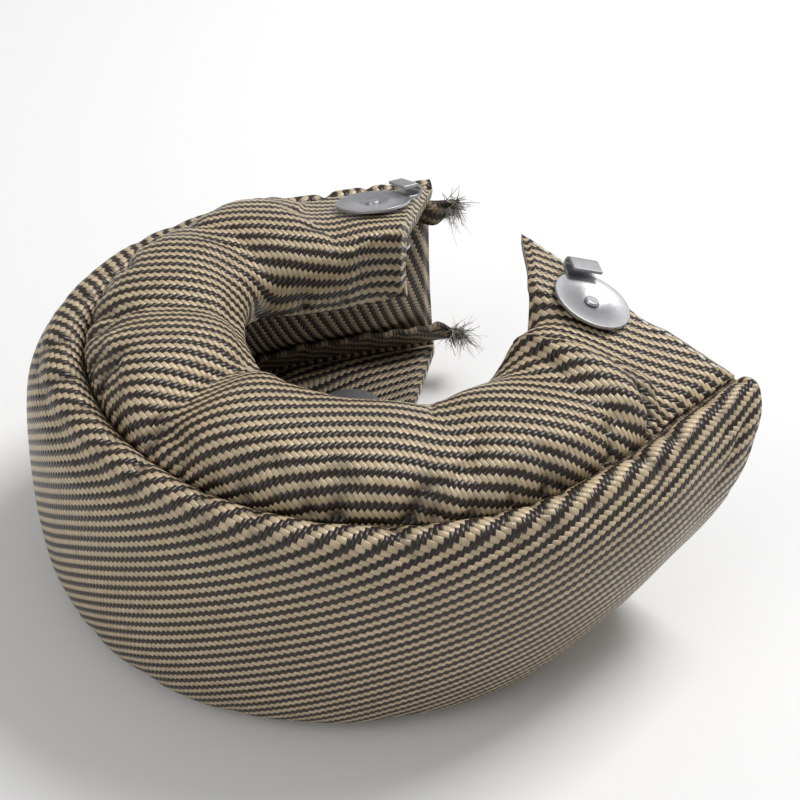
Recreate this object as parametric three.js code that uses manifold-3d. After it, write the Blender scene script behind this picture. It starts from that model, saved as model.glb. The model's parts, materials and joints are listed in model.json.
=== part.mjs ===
// A heat blanket for a turbocharger's turbine housing, as one three.js scene graph in millimetres, +Z up.
// It is a C-shaped padded jacket: a front wall and a back wall, each with a round bore, joined round the
// outside by a standing band. Every wall is a sandwich of outer cloth, wool and lining cloth.
// The C opens at a gap, where the housing's inlet passes, and hook discs are riveted on beside the gap.

import * as THREE from "three";
import { mergeVertices } from "three/addons/utils/BufferGeometryUtils.js";
import Module from "manifold-3d";

const wasm = await Module();
wasm.setup();

// Plan of the jacket, seen from above, with the bore's axis at x 0, y 0
const SEAM_RADIUS = 70; // the round run of the outer seam
const INLET_LENGTH = 41; // straight run of the seam past the round, along the inlet
const INLET_ANGLE = 315; // degrees, where that straight run begins
const LEFT_SEAM_RADIUS = 56; // the seam is drawn in towards the left end
const LEFT_SEAM_CORNER = [11.5, 61];
const BORE_RADIUS = 33;
const LEFT_RIM_CORNER = [4, 19.5];
const TIP_CORNER = [31.5, 14]; // the pointed inner corner of the right flap

// Heights above the floor
const SEAM_HEIGHT = 55;
const PUFF = 11; // crown of the front wall above its seam
const LEFT_PUFF = 0.4; // share of the crown that is left at the left end, where the wall slopes instead
const LEFT_RIM_RISE = 13;
const LEFT_ROLL = 5; // how much lower the rim hangs there, rolled under
const LINING_RISE = 0.2; // share of that rise that the lining's side takes
const TIP_RISE = 17;
const END_DROOP = 1.5; // the right flap sags towards the gap

// Cloth and filling
const CLOTH = 1.2;
const GAP = 0.3; // between one layer and the next
const EDGE = 4; // thickness of a wall where it is sewn shut
const BAND_PAD = 12;
const BAND_BULGE = 14; // how far the band's face stands outside the seam, at its fullest
const END_BULGE = 6; // the same at the left end
const RIGHT_BULGE = 10.5;
const LIP = 4; // how far the band's rolled top edge stands above the seam
const END_LIP = 2.5; // the same at the left end
const BACK_PAD = 12;

// The band's foot flares out on the left and tucks in at both ends. On the right it stops short of the seam.
const FOOT_FLARE = 2;
const LEFT_TUCK = 6;
const RIGHT_TUCK = 20;
const TUCK_CURVE = 2.3;
const FOOT_END = 0.91; // share of the seam's length that the foot keeps

// Seam allowances inside the jacket
const ALLOWANCE_HEIGHT = 8;
const ALLOWANCE_THICKNESS = 1.6;
const ALLOWANCE_TAIL = 6; // frayed ends that stick out at the left end
const ALLOWANCE_LEAN = 30; // degrees that the lower one leans in at the left, to none at the right

// Riveted hook discs, each with a washer on the lining's side
const DISC_RADIUS = 9.3;
const DISC_THICKNESS = 0.8;
const DISC_DISH = 0.9;
const HUB_RADIUS = 2.6;
const HUB_SLOPE = 1.6; // from the hub out to the raised ring
const RIVET_RADIUS = 1.1;
const RIVET_HEAD = 1.9;
const RIVET_HEAD_HEIGHT = 0.7;
const RIVET_CLEARANCE = 0.2;
const SEAT_CLEARANCE = 0.3;
const HOOK_WIDTH = 7.5;
const HOOK_REACH = 1.2; // from the disc's rim to the start of the bend
const HOOK_BEND = 1; // inner radius of the bend
const HOOK_RETURN = 3.5;
const HOOK_ROOT = 2; // how far the hook's strip runs in under the disc's rim
const WASHER_RADIUS = 8.3;
const WASHER_DISH = 1.1;
const HOOK_HEIGHT = DISC_DISH + 2 * (DISC_THICKNESS + HOOK_BEND);
const BACK_LIFT = HOOK_HEIGHT + 3 * SEAT_CLEARANCE; // the back wall's ends rest on their hooks
const PRESSED_RADIUS = 13; // the wall lies below a disc's plane this far from its axis
const PRESS_FADE = 7; // and gives way less and less over this much more

// How finely the cloth is laid out
const STATIONS = 33;
const ROUND_SIDES = 18;

// Where each pair of seam point and rim point sits, from the left end to the right end of the C
const STATION_ANGLES = [108, 134, 160, 186, 212, 238, 264, 290, INLET_ANGLE];
const LAST = STATION_ANGLES.length + 2;

const lerp = THREE.MathUtils.lerp;
const smooth = THREE.MathUtils.smoothstep;

function polar(radius, degrees) {
  const angle = THREE.MathUtils.degToRad(degrees);
  return new THREE.Vector3(radius * Math.cos(angle), radius * Math.sin(angle), 0);
}

// The outer seam in plan: round, then straight along the inlet
function seamPoints() {
  const inlet = polar(1, INLET_ANGLE + 90);
  const start = polar(SEAM_RADIUS, INLET_ANGLE);
  const round = STATION_ANGLES.map((angle, i) => {
    return polar(lerp(LEFT_SEAM_RADIUS, SEAM_RADIUS, Math.min(1, i / 3)), angle);
  });
  return [
    new THREE.Vector3(...LEFT_SEAM_CORNER, 0),
    ...round,
    start.clone().addScaledVector(inlet, INLET_LENGTH / 2),
    start.clone().addScaledVector(inlet, INLET_LENGTH),
  ];
}

// The bore's rim in plan: a chord on the left arm, round, then straight up to the tip of the right flap
function rimPoints() {
  const corner = new THREE.Vector3(...LEFT_RIM_CORNER, 0);
  const chordEnd = polar(BORE_RADIUS, STATION_ANGLES[2]);
  return [
    corner,
    corner.clone().lerp(chordEnd, 1 / 3),
    corner.clone().lerp(chordEnd, 2 / 3),
    ...STATION_ANGLES.slice(2).map((angle) => polar(BORE_RADIUS, angle)),
    polar(BORE_RADIUS, (INLET_ANGLE + 371) / 2),
    new THREE.Vector3(...TIP_CORNER, 0),
  ];
}

const seamLine = new THREE.CatmullRomCurve3(seamPoints(), false, "catmullrom");
const rimLine = new THREE.CatmullRomCurve3(rimPoints(), false, "catmullrom");

// Folds that run across the front wall, from the seam to the bore: place, depth, half width, lean
const FOLDS = [
  { at: 0.105, depth: 0.2, width: 0.026, lean: 0 },
  { at: 0.225, depth: 0.2, width: 0.026, lean: 0.01 },
  { at: 0.365, depth: 0.2, width: 0.024, lean: 0.005 },
  { at: 0.515, depth: 0.5, width: 0.028, lean: -0.075 },
  { at: 0.7, depth: 0.2, width: 0.03, lean: 0.01 },
  { at: 0.83, depth: 0.25, width: 0.026, lean: -0.01 },
];

function foldFactor(u, v) {
  let factor = 1;
  for (const fold of FOLDS) {
    const away = (u - fold.at - fold.lean * v) / fold.width;
    factor -= fold.depth * Math.exp(-away * away);
  }
  return factor;
}

// What changes from one end of the C to the other, for u from 0 at the left end to 1 at the tip
function stationAt(u) {
  const seam = seamLine.getPoint(u);
  const rim = rimLine.getPoint(u);
  const along = seamLine.getTangent(u);
  const place = u * LAST;
  const left = 1 - smooth(place, 0, 1.6);
  const slope = 1 - smooth(place, 0, 2.8);
  return {
    u,
    seam,
    rim,
    inward: rim.clone().sub(seam).normalize(),
    width: rim.distanceTo(seam),
    outward: new THREE.Vector3(along.y, -along.x, 0),
    puff: PUFF * lerp(1, LEFT_PUFF, slope),
    crestRise: LEFT_RIM_RISE * slope,
    roll: LEFT_ROLL * slope,
    flapRise: TIP_RISE * smooth(place, 8.6, 10.3) - END_DROOP * smooth(place, 10, LAST),
    fullness: (1 - smooth(place, 9.3, 10.2)) * lerp(1, 0.7, left),
    bandFullness: smooth(place, -0.3, 0.6) * (1 - smooth(place, 10.4, LAST + 0.3)),
    backFullness: smooth(place, 0.3, 2.6) * (1 - smooth(place, 9, 10.4)),
    bulge: lerp(END_BULGE, lerp(BAND_BULGE, RIGHT_BULGE, smooth(place, 3.5, 8)), smooth(place, 1.2, 4)),
    lip: lerp(END_LIP, LIP, smooth(place, 1.2, 3.5)),
    tuck: lerp(LEFT_TUCK, lerp(-FOOT_FLARE, RIGHT_TUCK, smooth(place, 5.3, 10.2)), smooth(place, 1.5, 4)),
    lift: BACK_LIFT * (1 - smooth(place, 1.2, 2.6) + smooth(place, 8.3, 9.5)),
  };
}

// Sections of the three walls. Each knot pairs a point of the outer face with one of the lining's face.

// Front wall, from the seam to the bore's rim: shares of the wall's width and of its puff
const FRONT_OUTER = [
  [0, 0],
  [0.005, 0.45],
  [0.1, 0.85],
  [0.33, 1],
  [0.62, 0.98],
  [0.865, 0.73],
  [0.985, 0.23],
  [0.967, -0.3],
  [0.91, -0.63],
];
const FRONT_LINING = [
  [0.09, 0],
  [0.12, -0.15],
  [0.18, -0.33],
  [0.36, -0.47],
  [0.56, -0.5],
  [0.7, -0.5],
  [0.755, -0.49],
  [0.79, -0.53],
  [0.82, -0.61],
];

// Band, from its foot to the seam: share of the bulge, share of the seam's height, share of the lip
const BAND_OUTER = [
  [0.32, 0.01, 0],
  [0.8, 0.1, 0],
  [0.98, 0.34, 0],
  [1, 0.64, 0],
  [0.9, 0.9, 0],
  [0.66, 1, 0.6],
  [0.34, 1, 1],
  [0.08, 1, 0.55],
  [0, 1, 0],
];

// Back wall, from the bore's rim to its outer edge: shares of the wall's width and of its thickness
const BACK_OUTER = [
  [0.02, 0.42],
  [0.03, 0.12],
  [0.14, 0],
  [0.42, 0],
  [0.7, 0],
  [0.9, 0],
  [1, 0.05],
];
const BACK_LINING = [
  [0.06, 0.74],
  [0.12, 0.9],
  [0.22, 1],
  [0.44, 1],
  [0.64, 0.96],
  [0.86, 0.5],
  [1, 0.38],
];

const splineThrough = (knots) => new THREE.SplineCurve(knots.map((knot) => new THREE.Vector2(...knot)));
const frontSections = [splineThrough(FRONT_LINING), splineThrough(FRONT_OUTER)];
const backSections = [BACK_LINING, BACK_OUTER];

// The two points of a list of knots that v lies between, and how far it is past the first
function between(knots, v) {
  const at = v * (knots.length - 1);
  const first = Math.min(Math.floor(at), knots.length - 2);
  return [first, first + 1, at - first];
}

// A point of the front wall: v runs from the seam to the rim, side is 1 on the cover and 0 on the lining
function frontPoint(station, v, side) {
  const knot = frontSections[side].getPoint(v);
  const across = lerp(v, knot.x, station.fullness);
  const thin = side * EDGE;
  const full = knot.y * (knot.y > 0 ? station.puff * foldFactor(station.u, v) : PUFF);
  const point = station.seam.clone().addScaledVector(station.inward, across * station.width);
  const raised = side ? lerp(LINING_RISE, 1, smooth(knot.y, -0.63, 0.23)) : LINING_RISE;
  const rise = (station.flapRise + station.crestRise * raised) * across;
  const hang = station.roll * smooth(v, 0.6, 0.95) * (side ? 1 - raised : 1);
  point.z = SEAM_HEIGHT + rise - hang + lerp(thin, full, station.fullness);
  return point;
}

// A point of the band: v runs from the foot to the seam, side is 1 on the cover and 0 on the lining
function bandPoint({ u }, v, side) {
  const [first, second, share] = between(BAND_OUTER, v);
  return bandKnot(u, first, side).lerp(bandKnot(u, second, side), share);
}

function bandKnot(u, k, side) {
  const [share, rise, lip] = BAND_OUTER[k];
  const station = stationAt(u * lerp(FOOT_END, 1, rise));
  const top = SEAM_HEIGHT;
  let out = GAP + share * (station.bulge - GAP);
  let height = rise * top + lip * station.lip;
  if (side === 0) {
    const face = station.bulge - lerp(EDGE, BAND_PAD, station.bandFullness);
    const inside = [
      [out, height + EDGE],
      [Math.max(face, out - EDGE) + 0.5, 0.17 * top],
      [face, 0.34 * top],
      [face, 0.6 * top],
      [Math.max(face, ALLOWANCE_THICKNESS) + 0.5, 0.82 * top],
      [EDGE + 0.6, top - 5],
      [EDGE + 1.2, top - 2],
      [EDGE + 0.8, top - 0.4],
      [EDGE + GAP, top],
    ][k];
    out = inside[0];
    height = inside[1];
  }
  const low = 1 - Math.min(1, height / top);
  const point = station.seam.clone().addScaledVector(station.outward, out - station.tuck * low ** TUCK_CURVE);
  point.z = height + station.lift * low;
  return point;
}

// A point of the back wall: v runs from the rim to the band's foot, side is 1 on the cover and 0 on the lining
function backPoint({ u }, v, side) {
  const [first, second, share] = between(BACK_OUTER, v);
  return backKnot(u, first, side).lerp(backKnot(u, second, side), share);
}

function backKnot(u, k, side) {
  const [across, rise] = backSections[side][k];
  const station = stationAt(u * FOOT_END);
  const foot = bandKnot(u, 0, side).addScaledVector(station.outward, -GAP);
  const point = station.rim.clone().lerp(foot.setZ(0), lerp(k / (BACK_OUTER.length - 1), across, station.backFullness));
  const thin = side ? 0 : EDGE;
  point.z = station.lift + lerp(thin, rise * BACK_PAD, station.backFullness);
  return point;
}

// Riveted fasteners: the wall that carries each, its place there, how thin the rivet draws the wall,
// how deep the disc presses in, and which way its hook points in plan
const FASTENERS = [
  { name: "front_right", wall: frontPoint, at: [0.95, 0.64], pinch: EDGE + 1.4, sink: 0.2, hook: [-0.28, 0.96] },
  { name: "front_left", wall: frontPoint, at: [0.05, 0.43], pinch: 8.5, sink: 0.8, hook: [0.84, 0.54] },
  { name: "back_left", wall: backPoint, at: [0.1, 0.3], pinch: EDGE + 0.5, sink: 0.2, hook: [0.9, 0.44] },
  { name: "back_right", wall: backPoint, at: [0.972, 0.5], pinch: EDGE + 0.5, sink: 0.2, hook: [-0.28, 0.96] },
];

// Each fastener's seat: the disc's plane on the cover, with the axis pointing away from the wall
for (const fastener of FASTENERS) {
  const [u, v] = fastener.at;
  const step = 0.02;
  const here = fastener.wall(stationAt(u), v, 1);
  const alongU = fastener.wall(stationAt(u + step), v, 1).sub(fastener.wall(stationAt(u - step), v, 1));
  const alongV = fastener.wall(stationAt(u), v + step, 1).sub(fastener.wall(stationAt(u), v - step, 1));
  fastener.axis = alongU.cross(alongV).normalize();
  fastener.seat = here.addScaledVector(fastener.axis, -fastener.sink);
}

// How high a point stands above a disc's plane, and how firmly it is held there
function pressAt({ seat, axis }, point) {
  const height = point.clone().sub(seat).dot(axis);
  const away = Math.sqrt(point.distanceToSquared(seat) - height * height);
  return [height, 1 - smooth(away, PRESSED_RADIUS, PRESSED_RADIUS + PRESS_FADE)];
}

// A pair of points across a wall, one on its outer face and one on its lining's face. The wall gives way
// under a disc on its cover and under a washer on its lining, but stays as thick as its sewn edge.
function pairAt(wall, station, v) {
  const outer = wall(station, v, 1);
  const lining = wall(station, v, 0);
  for (const fastener of FASTENERS.filter((one) => one.wall === wall)) {
    const { axis, pinch } = fastener;
    const [height, hold] = pressAt(fastener, outer);
    const push = Math.min(0, -height) * hold;
    outer.addScaledVector(axis, push);
    lining.addScaledVector(axis, push);
    const [depth, liningHold] = pressAt(fastener, lining);
    const aside = lining.clone().sub(outer).projectOnPlane(axis).length();
    const below = Math.sqrt(Math.max(0, EDGE * EDGE - aside * aside));
    const limit = aside < EDGE ? Math.min(-pinch, height + push - below) : -pinch;
    lining.addScaledVector(axis, Math.max(0, limit - depth) * liningHold);
  }
  return [outer, lining];
}

// A sheet laid out on a grid, columns along the C and rows across the wall, then bent into place.
// The quads of its two faces are split along the same diagonal, so that layers stay parallel.
function bentSheet(columns, rows, place) {
  const box = new THREE.BoxGeometry(1, 1, 1, columns, rows, 1);
  const underside = box.groups[5];
  for (let k = underside.start; k < underside.start + underside.count; k += 6) {
    const [a, b, d, c] = [0, 1, 2, 4].map((i) => box.index.getX(k + i));
    [a, b, c, a, c, d].forEach((corner, i) => box.index.setX(k + i, corner));
  }
  const position = box.attributes.position;
  for (let i = 0; i < position.count; i += 1) {
    const point = place(position.getX(i) + 0.5, position.getY(i) + 0.5, position.getZ(i) + 0.5);
    position.setXYZ(i, point.x, point.y, point.z);
  }
  box.deleteAttribute("normal");
  box.deleteAttribute("uv");
  return mergeVertices(box, 1e-4);
}

// One layer of a wall. Its faces lie at given depths below the outer face and above the lining's face.
function wallLayer(wall, rows, depths) {
  return bentSheet(STATIONS, rows, (u, v, top) => {
    const [outer, lining] = pairAt(wall, stationAt(u), v);
    const thickness = outer.distanceTo(lining);
    const depth = depths(thickness)[top > 0.5 ? 0 : 1];
    return outer.lerp(lining, depth / thickness);
  });
}

const LAYERS = {
  cover: () => [0, CLOTH],
  wool: (thickness) => [CLOTH + GAP, thickness - CLOTH - GAP],
  lining: (thickness) => [thickness - CLOTH, thickness],
};

// A strip of gathered cloth ends, where two walls are sewn together inside the jacket
function allowance(base) {
  return bentSheet(STATIONS, 1, (u, v, top) => {
    const { point, station, lean } = base(u);
    const across = (top - 0.5) * ALLOWANCE_THICKNESS;
    const rise = v * ALLOWANCE_HEIGHT;
    point.addScaledVector(station.outward, across * Math.cos(lean) - rise * Math.sin(lean));
    point.z += rise * Math.cos(lean) + across * Math.sin(lean);
    if (u === 0) point.add(station.outward.clone().cross(new THREE.Vector3(0, 0, ALLOWANCE_TAIL)));
    return point;
  });
}

function frontAllowanceBase(u) {
  const station = stationAt(u);
  const point = station.seam.clone().addScaledVector(station.outward, GAP / 2);
  point.z = SEAM_HEIGHT - GAP - ALLOWANCE_HEIGHT;
  return { point, station, lean: 0 };
}

function backAllowanceBase(u) {
  const station = stationAt(u * FOOT_END);
  const point = bandKnot(u, 0, 0).addScaledVector(station.outward, -ALLOWANCE_THICKNESS);
  point.z += 7 * GAP;
  const lean = THREE.MathUtils.degToRad(ALLOWANCE_LEAN) * (1 - smooth(u * LAST, 4.5, 9.5));
  return { point, station, lean };
}

// Solids made by joining or cutting two others
function solidFrom(geometry) {
  const bare = new THREE.BufferGeometry();
  bare.setAttribute("position", geometry.attributes.position);
  if (geometry.index) bare.setIndex(geometry.index);
  const merged = mergeVertices(bare, 1e-4);
  const vertProperties = new Float32Array(merged.attributes.position.array);
  const triVerts = new Uint32Array(merged.index.array);
  return new wasm.Manifold(new wasm.Mesh({ numProp: 3, vertProperties, triVerts }));
}

function geometryFrom(solid) {
  const mesh = solid.getMesh();
  const geometry = new THREE.BufferGeometry();
  geometry.setAttribute("position", new THREE.BufferAttribute(mesh.vertProperties, 3));
  geometry.setIndex(new THREE.BufferAttribute(mesh.triVerts, 1));
  return geometry;
}

// A round plate about the Z axis whose hub touches z 0 and whose ring stands higher
function dishedPlate(radius, dish) {
  const hole = RIVET_RADIUS + RIVET_CLEARANCE;
  const ring = HUB_RADIUS + HUB_SLOPE;
  const section = [
    [hole, 0],
    [HUB_RADIUS, 0],
    [ring, dish],
    [radius, dish],
    [radius, dish + DISC_THICKNESS],
    [ring, dish + DISC_THICKNESS],
    [HUB_RADIUS, DISC_THICKNESS],
    [hole, DISC_THICKNESS],
    [hole, 0],
  ];
  return turned(section);
}

function turned(section) {
  const points = section.map((knot) => new THREE.Vector2(...knot));
  return new THREE.LatheGeometry(points, ROUND_SIDES).rotateX(Math.PI / 2);
}

// The strip that leaves the disc's rim along +X, rises and returns above the disc
function hookStrip() {
  const bendAt = DISC_RADIUS + HOOK_REACH;
  const outerBend = HOOK_BEND + DISC_THICKNESS;
  const middle = DISC_DISH + outerBend;
  const profile = new THREE.Shape();
  profile.moveTo(DISC_RADIUS - HOOK_ROOT, DISC_DISH);
  profile.lineTo(bendAt, DISC_DISH);
  profile.absarc(bendAt, middle, outerBend, -Math.PI / 2, Math.PI / 2, false);
  profile.lineTo(bendAt - HOOK_RETURN, middle + outerBend);
  profile.lineTo(bendAt - HOOK_RETURN, middle + HOOK_BEND);
  profile.lineTo(bendAt, middle + HOOK_BEND);
  profile.absarc(bendAt, middle, HOOK_BEND, Math.PI / 2, -Math.PI / 2, true);
  profile.lineTo(DISC_RADIUS - HOOK_ROOT, DISC_DISH + DISC_THICKNESS);
  const strip = new THREE.ExtrudeGeometry(profile, {
    depth: HOOK_WIDTH,
    steps: 1,
    curveSegments: 5,
    bevelEnabled: false,
  });
  return strip.translate(0, 0, -HOOK_WIDTH / 2).rotateX(Math.PI / 2);
}

function hookDisc() {
  const plate = solidFrom(dishedPlate(DISC_RADIUS, DISC_DISH));
  return geometryFrom(plate.add(solidFrom(hookStrip())));
}

// The rivet runs from above the disc's hub, z 0 at the seat, down past the washer
function rivet(pinch) {
  const top = SEAT_CLEARANCE + DISC_THICKNESS + RIVET_CLEARANCE;
  const bottom = -pinch - top;
  return turned([
    [0, bottom - RIVET_HEAD_HEIGHT],
    [RIVET_HEAD, bottom - RIVET_HEAD_HEIGHT],
    [RIVET_HEAD, bottom],
    [RIVET_RADIUS, bottom],
    [RIVET_RADIUS, top],
    [RIVET_HEAD, top],
    [RIVET_HEAD * 0.8, top + RIVET_HEAD_HEIGHT],
    [0, top + RIVET_HEAD_HEIGHT],
  ]);
}

// Turns a fastener's own frame, with the hook along +X and the axis along +Z, to its seat
function seatMatrix({ seat, axis, hook }) {
  const toward = new THREE.Vector3(...hook, 0);
  const x = toward.addScaledVector(axis, -toward.dot(axis)).normalize();
  const y = axis.clone().cross(x);
  return new THREE.Matrix4().makeBasis(x, y, axis).setPosition(seat);
}

// The rivets' holes through the layers of a wall
function pierced(wall, geometry) {
  let solid = solidFrom(geometry);
  for (const fastener of FASTENERS.filter((one) => one.wall === wall)) {
    const radius = RIVET_RADIUS + RIVET_CLEARANCE;
    const length = 2 * (fastener.pinch + PUFF);
    const drill = new THREE.CylinderGeometry(radius, radius, length, 12).rotateX(Math.PI / 2);
    solid = solid.subtract(solidFrom(drill.applyMatrix4(seatMatrix(fastener))));
  }
  return geometryFrom(solid);
}

const finish = (color, roughness, metalness) => new THREE.MeshStandardMaterial({ color, roughness, metalness });

const FINISHES = {
  cover: () => finish(0x8d7a63, 0.7, 0.1),
  lining: () => finish(0x8d7a63, 0.7, 0.1),
  wool: () => finish(0xd9d2bd, 0.95, 0),
  ends: () => finish(0x4d4136, 0.9, 0),
  steel: () => finish(0x9b9b9a, 0.35, 0.9),
};

const blanket = new THREE.Group();

function addPiece(name, geometry, look) {
  const mesh = new THREE.Mesh(geometry, look());
  mesh.name = name;
  blanket.add(mesh);
  return mesh;
}

// The three walls, layer by layer
const WALLS = [
  { name: "front", wall: frontPoint, rows: FRONT_OUTER.length - 1 },
  { name: "band", wall: bandPoint, rows: BAND_OUTER.length - 1 },
  { name: "back", wall: backPoint, rows: BACK_OUTER.length - 1 },
];
for (const { name, wall, rows } of WALLS) {
  for (const [layer, depths] of Object.entries(LAYERS)) {
    const sheet = wallLayer(wall, rows, depths);
    addPiece(`${name}_${layer}`, pierced(wall, sheet), FINISHES[layer]);
  }
}

addPiece("front_seam_allowance", allowance(frontAllowanceBase), FINISHES.ends);
addPiece("back_seam_allowance", allowance(backAllowanceBase), FINISHES.ends);

for (const fastener of FASTENERS) {
  const { name, pinch } = fastener;
  const place = seatMatrix(fastener);
  const disc = addPiece(`${name}_hook_disc`, hookDisc().translate(0, 0, SEAT_CLEARANCE), FINISHES.steel);
  const plate = dishedPlate(WASHER_RADIUS, WASHER_DISH).rotateX(Math.PI);
  const washer = addPiece(`${name}_washer`, plate.translate(0, 0, -pinch - SEAT_CLEARANCE), FINISHES.steel);
  const pin = addPiece(`${name}_rivet`, rivet(pinch), FINISHES.steel);
  for (const piece of [disc, washer, pin]) piece.applyMatrix4(place);
}

// The origin is below the middle of the jacket, on the floor
const extent = new THREE.Box3().setFromObject(blanket, true);
const middle = extent.getCenter(new THREE.Vector3());
blanket.position.set(-middle.x, -middle.y, -extent.min.z);
blanket.updateMatrixWorld(true);

export default blanket;
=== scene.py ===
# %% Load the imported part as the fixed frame
import json
import math

import bmesh
import bpy
import numpy as np
from mathutils import Matrix, Vector

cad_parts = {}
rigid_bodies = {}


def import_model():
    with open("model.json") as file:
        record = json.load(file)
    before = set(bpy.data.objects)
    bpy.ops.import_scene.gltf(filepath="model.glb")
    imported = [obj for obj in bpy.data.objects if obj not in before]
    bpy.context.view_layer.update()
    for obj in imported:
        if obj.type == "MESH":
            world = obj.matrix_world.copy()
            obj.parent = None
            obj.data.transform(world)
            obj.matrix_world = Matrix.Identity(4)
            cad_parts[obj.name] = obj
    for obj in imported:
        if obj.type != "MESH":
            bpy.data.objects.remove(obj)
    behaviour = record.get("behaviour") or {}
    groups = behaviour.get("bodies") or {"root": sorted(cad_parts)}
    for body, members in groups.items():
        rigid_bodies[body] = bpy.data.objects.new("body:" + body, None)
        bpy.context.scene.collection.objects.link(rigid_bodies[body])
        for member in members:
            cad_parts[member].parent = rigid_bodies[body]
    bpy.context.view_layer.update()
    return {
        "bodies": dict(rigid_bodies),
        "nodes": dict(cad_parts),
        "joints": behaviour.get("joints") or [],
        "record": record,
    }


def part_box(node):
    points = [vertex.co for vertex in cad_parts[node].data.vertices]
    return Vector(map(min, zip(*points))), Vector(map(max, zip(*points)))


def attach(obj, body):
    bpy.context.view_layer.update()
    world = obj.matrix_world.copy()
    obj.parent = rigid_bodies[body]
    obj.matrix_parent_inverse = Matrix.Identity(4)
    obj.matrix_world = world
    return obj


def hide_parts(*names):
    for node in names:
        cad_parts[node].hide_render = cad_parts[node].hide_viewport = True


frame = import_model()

MM = 0.001
nodes = frame["nodes"]
print("nodes in the frame:", len(nodes))

# %% [markdown]
# The camera comes first, so that every later choice can be judged from the photograph's side.
# The jacket is seen from above at a moderate slope and from not far away, so its near side looks
# larger. A long lens from further off would flatten it, so distance and angle of view go together.

# %% Camera
ELEVATION = math.radians(38)
DISTANCE = 0.470
VIEW_ANGLE = math.radians(24)
AIM = Vector((0.0030, 0.0190, 0.025))


def make_camera():
    data = bpy.data.cameras.new("camera")
    data.sensor_width = 36
    data.lens = data.sensor_width / 2 / math.tan(VIEW_ANGLE / 2)
    data.clip_start = 0.01
    camera = bpy.data.objects.new("camera", data)
    back = Vector((0, -math.cos(ELEVATION), math.sin(ELEVATION)))
    camera.location = AIM + back * DISTANCE
    camera.rotation_mode = "QUATERNION"
    camera.rotation_quaternion = (-back).to_track_quat("-Z", "Y")
    bpy.context.scene.collection.objects.link(camera)
    bpy.context.scene.camera = camera
    return camera


camera = make_camera()
print("camera", [round(x, 3) for x in camera.location])

# %% [markdown]
# The jacket is a C in plan: an outer seam and a bore's rim, with a wall spanned between them.
# Both lines are smooth curves through a few points, worked out from the same sizes as the part.
# All lengths in the next cells are in millimetres, and they become metres when a mesh is made.

# %% Plan of the jacket
SEAM_RADIUS = 70
INLET_LENGTH = 41
INLET_ANGLE = 315
LEFT_SEAM_RADIUS = 56
LEFT_SEAM_CORNER = (11.5, 61)
BORE_RADIUS = 33
LEFT_RIM_CORNER = (4, 19.5)
TIP_CORNER = (31.5, 14)
STATION_ANGLES = (108, 134, 160, 186, 212, 238, 264, 290, INLET_ANGLE)
LAST = len(STATION_ANGLES) + 2

SEAM_HEIGHT = 55
PUFF = 11
LEFT_PUFF = 0.4
LEFT_RIM_RISE = 13
LEFT_ROLL = 5
LINING_RISE = 0.2
TIP_RISE = 17
END_DROOP = 1.5
CLOTH = 1.2
GAP = 0.3
EDGE = 4
BAND_PAD = 12
BAND_BULGE = 14
END_BULGE = 6
RIGHT_BULGE = 10.5
LIP = 4
END_LIP = 2.5
BACK_PAD = 12
FOOT_FLARE = 2
LEFT_TUCK = 6
RIGHT_TUCK = 20
TUCK_CURVE = 2.3
FOOT_END = 0.91
BACK_LIFT = 5.4


def polar(radius, degrees):
    angle = math.radians(degrees)
    return np.array([radius * math.cos(angle), radius * math.sin(angle)])


def lerp(a, b, share):
    return a + (b - a) * share


def smooth(x, low, high):
    t = np.clip((x - low) / (high - low), 0, 1)
    return t * t * (3 - 2 * t)


def curve_through(points, t, free_ends=True):
    """A smooth curve through points, at t from 0 to 1. Free ends run straight on past the last point."""
    points = np.asarray(points, float)
    first = 2 * points[0] - points[1] if free_ends else points[0]
    last = 2 * points[-1] - points[-2] if free_ends else points[-1]
    run = np.concatenate([first[None], points, last[None]])
    at = np.clip(np.asarray(t, float), 0, 1) * (len(points) - 1)
    k = np.minimum(at.astype(int), len(points) - 2)
    w = (at - k).reshape(at.shape + (1,) * (points.ndim - 1))
    a, b, c, d = run[k], run[k + 1], run[k + 2], run[k + 3]
    return 0.5 * (2 * b + (c - a) * w + (2 * a - 5 * b + 4 * c - d) * w**2 + (3 * b - a - 3 * c + d) * w**3)


def seam_points():
    start = polar(SEAM_RADIUS, INLET_ANGLE)
    inlet = polar(1, INLET_ANGLE + 90)
    round_run = [
        polar(lerp(LEFT_SEAM_RADIUS, SEAM_RADIUS, min(1, i / 3)), angle)
        for i, angle in enumerate(STATION_ANGLES)
    ]
    straight = [start + inlet * INLET_LENGTH / 2, start + inlet * INLET_LENGTH]
    return np.array([np.array(LEFT_SEAM_CORNER), *round_run, *straight])


def rim_points():
    corner = np.array(LEFT_RIM_CORNER)
    chord_end = polar(BORE_RADIUS, STATION_ANGLES[2])
    chord = [corner, lerp(corner, chord_end, 1 / 3), lerp(corner, chord_end, 2 / 3)]
    round_run = [polar(BORE_RADIUS, angle) for angle in STATION_ANGLES[2:]]
    return np.array([*chord, *round_run, polar(BORE_RADIUS, (INLET_ANGLE + 371) / 2), np.array(TIP_CORNER)])


SEAM_POINTS = seam_points()
RIM_POINTS = rim_points()
print("seam points", len(SEAM_POINTS), "rim points", len(RIM_POINTS))


# %% What changes along the C
def flat(points):
    """Plan points with a height of 0."""
    return np.concatenate([points, np.zeros(points.shape[:-1] + (1,))], axis=-1)


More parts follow.
